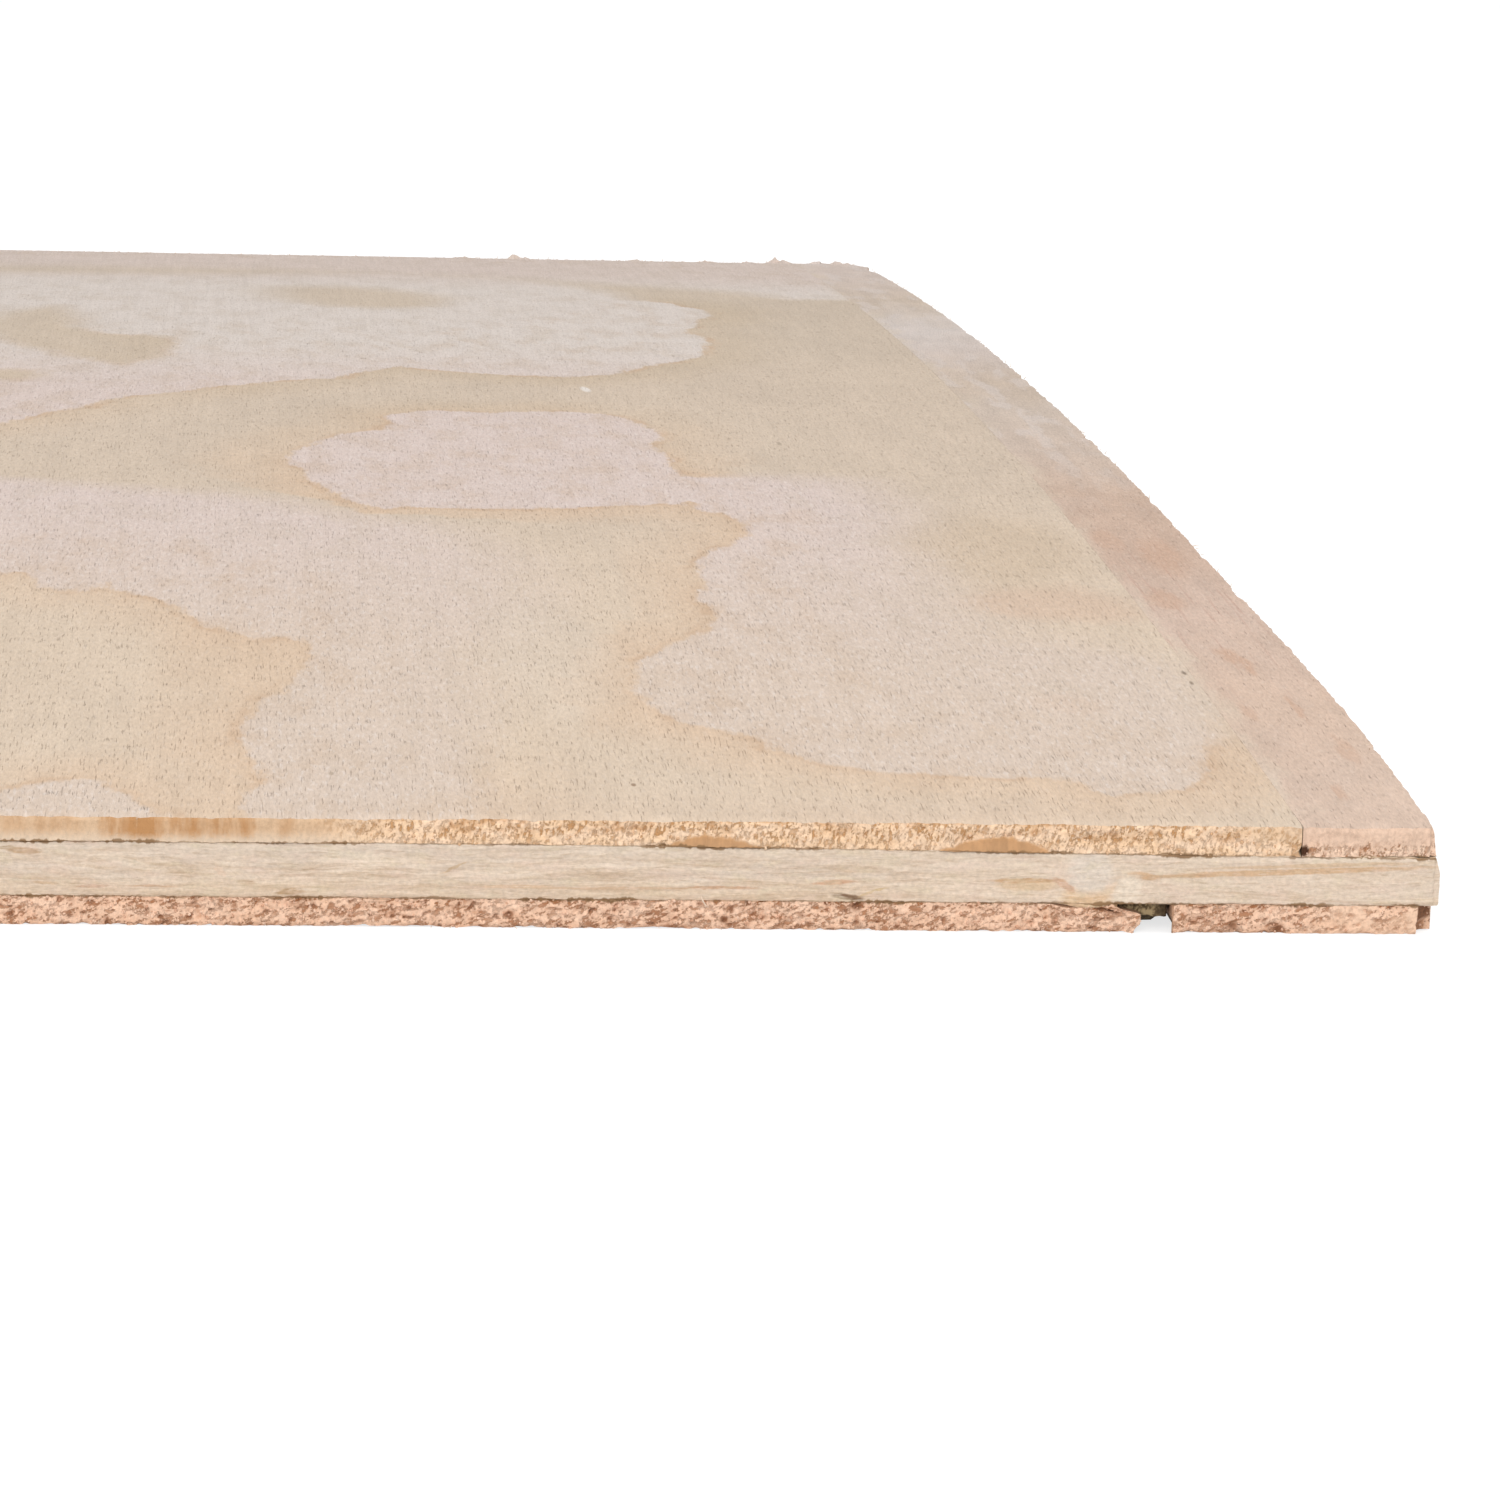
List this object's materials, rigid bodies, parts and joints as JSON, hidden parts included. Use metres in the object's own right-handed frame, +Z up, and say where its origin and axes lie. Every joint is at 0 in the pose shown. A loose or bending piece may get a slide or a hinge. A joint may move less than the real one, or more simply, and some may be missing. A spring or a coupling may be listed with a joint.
{
  "type": "plywood sheet",
  "caption": "Bare plywood sheet of thin veneers glued crosswise, slightly bowed along its face grain, with sawn edges, a pieced face and an open joint in the back veneer.",
  "frame": {"origin": "on the floor, under the middle of the sheet", "axes": "+X along the front edge, across the face grain; +Y along the face grain, away from the front edge; +Z up, out of the face"},
  "size_m": [0.6, 0.3002, 0.0098],
  "materials": {
    "face_wood": "bare rotary-cut veneer, sanded",
    "face_strip_wood": "bare rotary-cut veneer, sanded",
    "core_wood": "bare sawn wood",
    "back_wood": "bare rotary-cut veneer"
  },
  "bodies": {
    "root": {"face_veneer": "face_wood", "face_edge_strip": "face_strip_wood", "core_veneer": "core_wood", "back_veneer": "back_wood", "back_edge_strip": "back_wood"}
  },
  "joints": []
}
